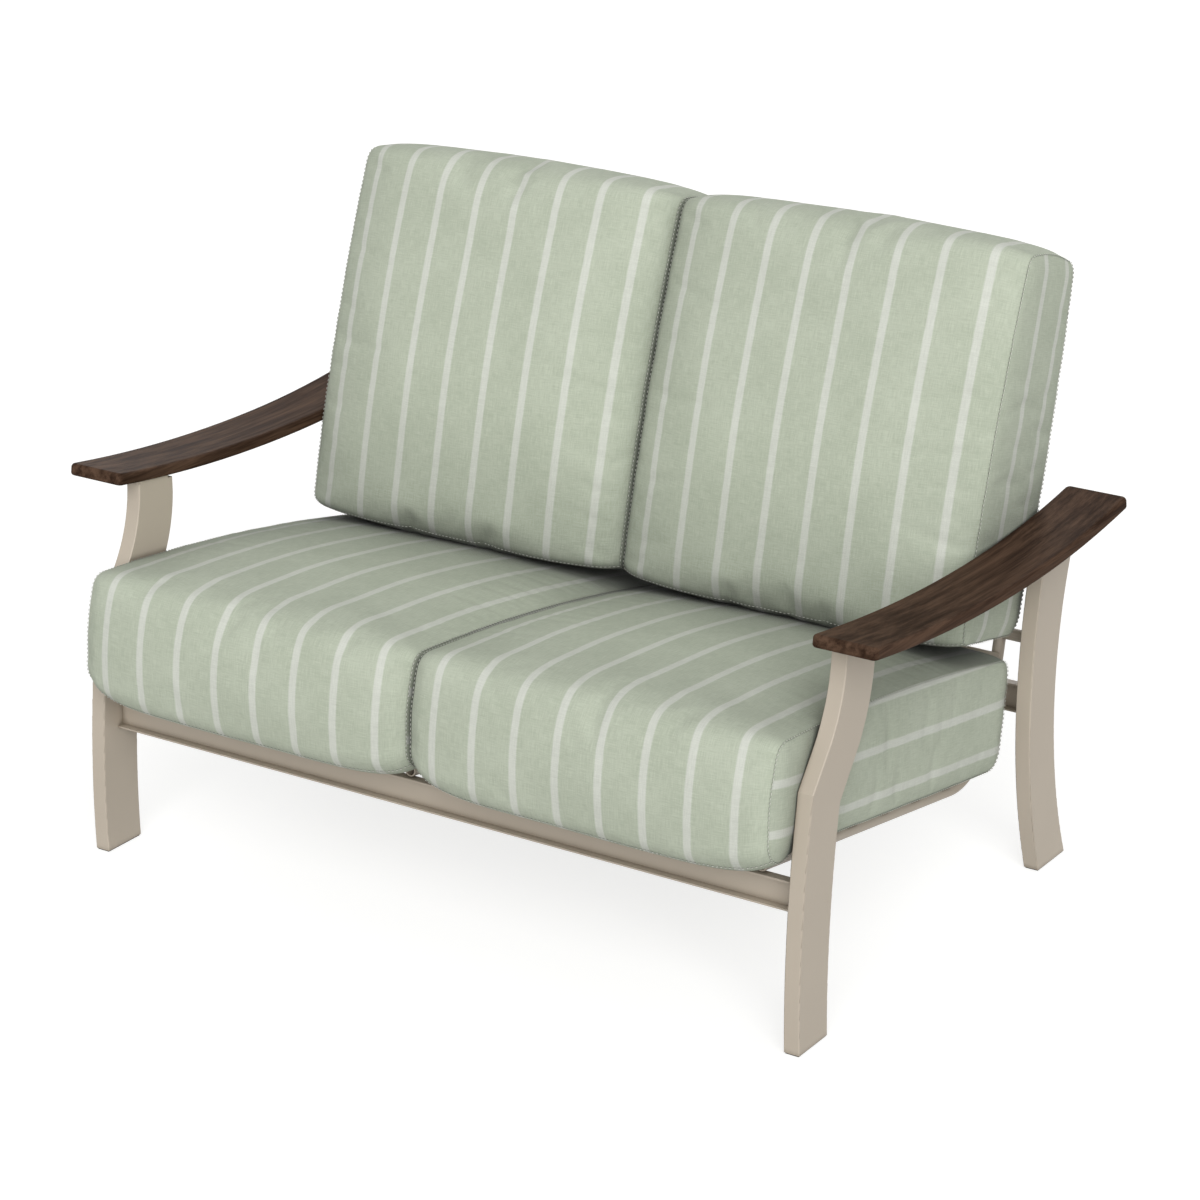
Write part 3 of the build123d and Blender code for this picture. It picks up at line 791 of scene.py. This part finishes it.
def broad_part(mesh, moves):
    """The broad part of the points' moves: each is averaged with its neighbours', time and again."""
    ends = np.empty(len(mesh.edges) * 2, dtype=int)
    mesh.edges.foreach_get("vertices", ends)
    one, two = ends.reshape(-1, 2).T
    neighbours = np.bincount(ends, minlength=len(moves))[:, None]
    for _ in range(BROAD_PASSES):
        total = np.zeros_like(moves)
        np.add.at(total, one, moves[two])
        np.add.at(total, two, moves[one])
        moves = (moves + total / neighbours) / 2
    return moves


BROAD_PASSES = 60


def fill_cover(piece, hold, cover):
    """Fills the cover by simulation, and keeps its folds and a share of its broad swell."""
    start = get_points(piece.data)
    group = piece.vertex_groups.new(name=HOLD_GROUP)
    for index, weight in enumerate(hold):
        if weight > 0:
            group.add([index], weight, "REPLACE")
    cloth = piece.modifiers.new("filling", "CLOTH")
    for key, value in SIMULATION.items():
        setattr(cloth.settings, key, value)
    cloth.settings.uniform_pressure_force = cover.pressure
    cloth.settings.shrink_min = -cover.growth
    cloth.settings.effector_weights.gravity = 0
    cloth.collision_settings.use_collision = False
    scene = bpy.context.scene
    for number in range(1, cover.frames + 1):
        scene.frame_set(number)
    filled = piece.evaluated_get(bpy.context.evaluated_depsgraph_get())
    move = get_points(filled.data) - start
    distance = np.linalg.norm(move, axis=1, keepdims=True)
    move *= np.minimum(1, cover.swell_limit / np.maximum(distance, NEXT_TO_NOTHING))
    move -= broad_part(piece.data, move) * (1 - cover.swell_share)
    piece.modifiers.remove(cloth)
    piece.vertex_groups.clear()
    scene.frame_set(1)
    set_points(piece.data, start + move)


HOLD_GROUP = "hold"
SIMULATION = {
    "quality": 4, "mass": 0.4, "tension_stiffness": 40, "compression_stiffness": 40, "shear_stiffness": 20,
    "bending_stiffness": 2, "vertex_group_mass": HOLD_GROUP, "pin_stiffness": 1, "use_pressure": True,
}


def soften(piece, seed, cover):
    """Gives the filling its soft unevenness, and the seams their small puckers."""
    points, normals = get_points(piece.data), get_normals(piece.data)
    near = np.empty(len(points))
    piece.data.attributes[SEAM_DISTANCE].data.foreach_get("value", near)
    for index, point in enumerate(points):
        place = Vector(point) + Vector((seed * SEED_STEP, 0, 0))
        soft = noise.noise(place * SOFT_FREQUENCY) * min(1, near[index] / SOFT_REACH)
        tight = noise.noise(place * PUCKER_FREQUENCY) * math.exp(-near[index] / PUCKER_REACH)
        point += normals[index] * (cover.unevenness * soft + cover.pucker * tight)
    set_points(piece.data, points)


SEED_STEP = 3.7
SOFT_FREQUENCY = 6.5
SOFT_REACH = 0.05
PUCKER_FREQUENCY = 28
PUCKER_REACH = 0.035


def keep_clear(piece, outer, rest):
    """Holds the cover clear of the other cushion, of the legs beside it and of the slats under it."""
    points = get_points(piece.data)
    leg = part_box("front_leg_right")[0].x
    points[:, 0] = outer * np.clip(points[:, 0] * outer, CLEARANCE, leg - CLEARANCE)
    along, above = rest.measure(points[:, 1:])
    lift = np.where(along > 0, np.maximum(CLEARANCE - above, 0), 0)
    points[:, 1:] += lift[:, None] * rest.above
    set_points(piece.data, points)


CLEARANCE = 0.0004


def smooth_once(piece):
    """One level of subdivision, applied."""
    rounding = piece.modifiers.new("rounding", "SUBSURF")
    rounding.levels = 1
    depsgraph = bpy.context.evaluated_depsgraph_get()
    mesh = bpy.data.meshes.new_from_object(piece.evaluated_get(depsgraph))
    piece.modifiers.remove(rounding)
    piece.data = mesh
    mesh.name = piece.name


def stitch_shape(cover):
    """One stitch along X: rings of points, thick in the middle and closed at both ends."""
    rings = []
    for place in STITCH_RING_SHARES:
        radius = cover.stitch_radius * math.sqrt(max(0.0, 1 - place ** 2) + STITCH_END_SHARE)
        for turn in range(STITCH_SIDES):
            around = 2 * math.pi * turn / STITCH_SIDES
            rings.append((place * cover.stitch / 2, radius * math.cos(around), radius * math.sin(around)))
    faces = [
        (low, low_after, high_after, high)
        for low, high, high_after, low_after in ring_faces(len(STITCH_RING_SHARES), STITCH_SIDES)
    ]
    faces.append(tuple(reversed(range(STITCH_SIDES))))
    faces.append(tuple(range(len(rings) - STITCH_SIDES, len(rings))))
    return np.array(rings), faces


STITCH_RING_SHARES = (-1, -0.7, 0, 0.7, 1)
STITCH_SIDES = 6
STITCH_END_SHARE = 0.05


def part_way(values, walked, where):
    """The values at some distance along a line, between those at its points."""
    return np.array([np.interp(where, walked, values[:, axis]) for axis in range(3)])


def sew(name, lines, cover):
    """Stitches along lines of points, each line with the outward way at its points."""
    shape, shape_faces = stitch_shape(cover)
    half = cover.stitch / 2
    points, faces = [], []
    for line, outward in lines:
        walked = running_total(np.linalg.norm(np.diff(line, axis=0), axis=1))
        count = round(walked[-1] / cover.stitch_pitch)
        for number in range(count):
            here = (number + 0.5) * walked[-1] / count
            way = part_way(line, walked, here + half) - part_way(line, walked, here - half)
            way /= np.linalg.norm(way)
            up = part_way(outward, walked, here)
            up -= way * (up @ way)
            up /= np.linalg.norm(up)
            base = part_way(line, walked, here) + up * cover.stitch_radius * STITCH_RISE_SHARE
            first = len(points)
            points.extend(base + shape @ np.array([way, np.cross(up, way), up]))
            faces.extend(tuple(first + index for index in face) for face in shape_faces)
    mesh = bpy.data.meshes.new(name)
    mesh.from_pydata([tuple(point) for point in points], [], faces)
    mesh.shade_smooth()
    return new_object(name, mesh)


STITCH_RISE_SHARE = 0.6


def make_cushion(node, section, counts, rest, side_pattern, seed, hold_below):
    """Cuts, fills, smooths and sews one cushion in the place of its solid."""
    cover = bpy.context.scene.loveseat_cover
    low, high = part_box(node)
    outer = 1 if node.endswith("right") else -1
    made = Cover(node + "_cover", low.x, high.x, section, counts, cover)
    piece = made.make_object(made.flat_pattern(*side_pattern(made)))
    hold = np.clip(1 - made.from_seam / HOLD_REACH, 0, 1) * HOLD_AT_SEAM
    above = rest.measure(made.points[:, 1:])[1]
    hold = np.maximum(hold, np.where(above < hold_below, HOLD_AT_REST, 0))
    fill_cover(piece, hold, cover)
    soften(piece, seed, cover)
    keep_clear(piece, outer, rest)
    filled, normals = get_points(piece.data), get_normals(piece.data)
    lines = [(filled[seam], normals[seam]) for seam in made.seams()]
    smooth_once(piece)
    piece.data.materials.append(bpy.data.materials["striped_cloth"])
    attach(piece, node)
    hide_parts(node)
    stitches = sew(node + "_stitches", lines, cover)
    stitches.data.materials.append(bpy.data.materials["sewing_thread"])
    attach(stitches, node)


HOLD_REACH = 0.02
HOLD_AT_SEAM = 0.9
HOLD_AT_REST = 0.9


# Operators, one for each piece or group of like pieces

class LOVESEAT_OT_frame(bpy.types.Operator):
    """Powder coats the legs, rails, tubes, slats and plates"""
    bl_idname = "loveseat.frame"
    bl_label = "Frame"

    def execute(self, context):
        finish_nodes(PAINTED, powder_coat(context.scene.loveseat_finish))
        return {"FINISHED"}


class LOVESEAT_OT_arms(bpy.types.Operator):
    """Stains the two arms"""
    bl_idname = "loveseat.arms"
    bl_label = "Arms"

    def execute(self, context):
        finish_nodes([f"arm_{side}" for side in SIDES], dark_walnut(context.scene.loveseat_finish))
        return {"FINISHED"}


class LOVESEAT_OT_fittings(bpy.types.Operator):
    """Finishes the glides, end caps, screws and threaded inserts"""
    bl_idname = "loveseat.fittings"
    bl_label = "Fittings"

    def execute(self, context):
        finish = context.scene.loveseat_finish
        finish_nodes(MOULDED, moulded_plastic(finish))
        finish_nodes(["arm_screws"], turned_metal("screw_steel", finish.steel))
        finish_nodes(["arm_inserts"], turned_metal("insert_brass", finish.brass))
        return {"FINISHED"}


class LOVESEAT_OT_cloth(bpy.types.Operator):
    """Makes the striped cloth and the sewing thread"""
    bl_idname = "loveseat.cloth"
    bl_label = "Cloth"

    def execute(self, context):
        striped_cloth(context.scene.loveseat_cloth)
        sewing_thread(context.scene.loveseat_cloth)
        return {"FINISHED"}


class LOVESEAT_OT_seat_cushions(bpy.types.Operator):
    """Makes the two seat cushions"""
    bl_idname = "loveseat.seat_cushions"
    bl_label = "Seat cushions"

    def execute(self, context):
        seat, cover = context.scene.loveseat_seat, context.scene.loveseat_cover
        forward = joint_direction("seat_cushion_right_slide")
        rest = Rest("seat_slat_1", (-forward[0], -forward[1]))
        pitch = context.scene.loveseat_cloth.stripe_pitch
        counts = (
            round(seat.front_height / cover.mesh_step),
            round((seat.front + seat.rear) / cover.mesh_step),
        )
        for seed, side in enumerate(SIDES):
            make_cushion(
                f"seat_cushion_{side}",
                lambda *place: seat_outline(seat, cover.edge_inset, rest, *place), counts, rest,
                lambda made: (rest.origin, rest.along, seat.side_stripe, pitch),
                seed, SEAT_HOLD_BELOW,
            )
        return {"FINISHED"}


class LOVESEAT_OT_back_cushions(bpy.types.Operator):
    """Makes the two back cushions"""
    bl_idname = "loveseat.back_cushions"
    bl_label = "Back cushions"

    def execute(self, context):
        back, cover = context.scene.loveseat_back, context.scene.loveseat_cover
        rest = Rest("back_slat_1", joint_direction("back_cushion_right_slide"))
        pitch = context.scene.loveseat_cloth.stripe_pitch
        counts = (
            round((back.front_top - back.front_bottom) / cover.mesh_step),
            round(back.front_high / cover.mesh_step),
        )
        for seed, side in enumerate(SIDES, len(SIDES)):
            make_cushion(
                f"back_cushion_{side}",
                lambda *place: back_outline(back, cover.edge_inset, rest, *place), counts, rest,
                lambda made: (*made.front_seam(), -back.side_stripe, pitch),
                seed, BACK_HOLD_BELOW,
            )
        return {"FINISHED"}


SEAT_HOLD_BELOW = 0.012
BACK_HOLD_BELOW = 0.03


def soft_light(name, azimuth, elevation, level):
    """A wide, even light. At level 1 it alone shows a surface that faces it in its own colour."""
    light = bpy.data.lights.new(name, "SUN")
    light.angle = SOFT_LIGHT_ANGLE
    light.energy = level * math.pi
    lamp = new_object(name, light)
    lamp.location = direction(azimuth, elevation) * SOFT_LIGHT_DISTANCE
    lamp.rotation_euler = (math.pi / 2 - elevation, 0, azimuth)


def direction(azimuth, elevation):
    """The way from the middle of the loveseat out to a light or the camera."""
    level = math.cos(elevation)
    return Vector((math.sin(azimuth) * level, -math.cos(azimuth) * level, math.sin(elevation)))


SOFT_LIGHT_ANGLE = math.radians(50)
SOFT_LIGHT_DISTANCE = 5
KEY_AZIMUTH, KEY_ELEVATION = math.radians(36), math.radians(27)
REAR_AZIMUTH, REAR_ELEVATION = math.radians(205), math.radians(8)


def seen_directly(tree):
    """1 for what the camera sees, also in a reflection or through glass."""
    path = add(tree, "LightPath").outputs
    seen = calc(tree, "MAXIMUM", path["Is Camera Ray"], path["Is Glossy Ray"])
    return calc(tree, "MAXIMUM", seen, path["Is Transmission Ray"])


def make_sky(stage):
    """White where it is seen, and a plain even light elsewhere."""
    world = bpy.data.worlds.new("sky")
    world.use_nodes = True
    tree = world.node_tree
    inputs = tree.nodes["Background"].inputs
    put(tree, inputs["Color"], WHITE)
    put(tree, inputs["Strength"], ranged(tree, seen_directly(tree), stage.sky_level, 1))
    bpy.context.scene.world = world


def make_floor(stage):
    """A plain pale floor that fades to white where nothing shades it."""
    half = stage.floor_width / 2
    corners = [(-half, -half, 0), (half, -half, 0), (half, half, 0), (-half, half, 0)]
    mesh = bpy.data.meshes.new("floor")
    mesh.from_pydata(corners, [], [(0, 1, 2, 3)])
    floor = new_object("floor", mesh)
    material, tree = new_material("pale_floor")
    mesh.materials.append(set_shader(
        material, roughness=0.95, specular=0, colour=(*stage.floor_colour, 1), glow=WHITE,
        glow_level=calc(tree, "MULTIPLY", seen_directly(tree), stage.floor_lift),
    ))


class LOVESEAT_OT_stage(bpy.types.Operator):
    """Sets up the floor, the lights and the camera"""
    bl_idname = "loveseat.stage"
    bl_label = "Stage"

    def execute(self, context):
        scene, stage = context.scene, context.scene.loveseat_stage
        scene.view_settings.view_transform = "Standard"
        make_sky(stage)
        make_floor(stage)
        soft_light("front_light", KEY_AZIMUTH, KEY_ELEVATION, stage.key_level)
        soft_light("rear_light", REAR_AZIMUTH, REAR_ELEVATION, stage.rear_level)
        azimuth, elevation = stage.camera_azimuth, stage.camera_elevation
        lens = bpy.data.cameras.new("camera")
        lens.sensor_width = SENSOR_WIDTH
        lens.lens = stage.lens
        lens.shift_x, lens.shift_y = stage.shift_x, stage.shift_y
        camera = new_object("camera", lens)
        camera.location = Vector(stage.target) + direction(azimuth, elevation) * stage.camera_distance
        camera.rotation_euler = (math.pi / 2 - elevation, 0, azimuth)
        scene.camera = camera
        return {"FINISHED"}


SENSOR_WIDTH = 36


class LOVESEAT_PT_panel(bpy.types.Panel):
    """Lists the loveseat's settings and the operators that make it"""
    bl_idname = "LOVESEAT_PT_panel"
    bl_label = "Loveseat"
    bl_space_type = "VIEW_3D"
    bl_region_type = "UI"
    bl_category = "Loveseat"

    def draw(self, context):
        for name, settings in SETTINGS.items():
            group = getattr(context.scene, name)
            box = self.layout.box()
            box.label(text=settings.__doc__)
            for key in settings.__annotations__:
                box.prop(group, key)
        for operator in OPERATORS:
            self.layout.operator(operator.bl_idname)


SETTINGS = {
    "loveseat_cloth": ClothSettings,
    "loveseat_finish": FinishSettings,
    "loveseat_seat": SeatSettings,
    "loveseat_back": BackSettings,
    "loveseat_cover": CoverSettings,
    "loveseat_stage": StageSettings,
}
OPERATORS = (
    LOVESEAT_OT_stage,
    LOVESEAT_OT_frame,
    LOVESEAT_OT_arms,
    LOVESEAT_OT_fittings,
    LOVESEAT_OT_cloth,
    LOVESEAT_OT_seat_cushions,
    LOVESEAT_OT_back_cushions,
)


def register():
    for kind in (*SETTINGS.values(), *OPERATORS, LOVESEAT_PT_panel):
        bpy.utils.register_class(kind)
    for name, settings in SETTINGS.items():
        setattr(bpy.types.Scene, name, PointerProperty(type=settings))


def unregister():
    for name in SETTINGS:
        delattr(bpy.types.Scene, name)
    for kind in reversed((*SETTINGS.values(), *OPERATORS, LOVESEAT_PT_panel)):
        bpy.utils.unregister_class(kind)


def main():
    """Makes the whole loveseat."""
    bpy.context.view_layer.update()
    register()
    for operator in OPERATORS:
        group, name = operator.bl_idname.split(".")
        getattr(getattr(bpy.ops, group), name)()


if __name__ == "__main__":
    main()
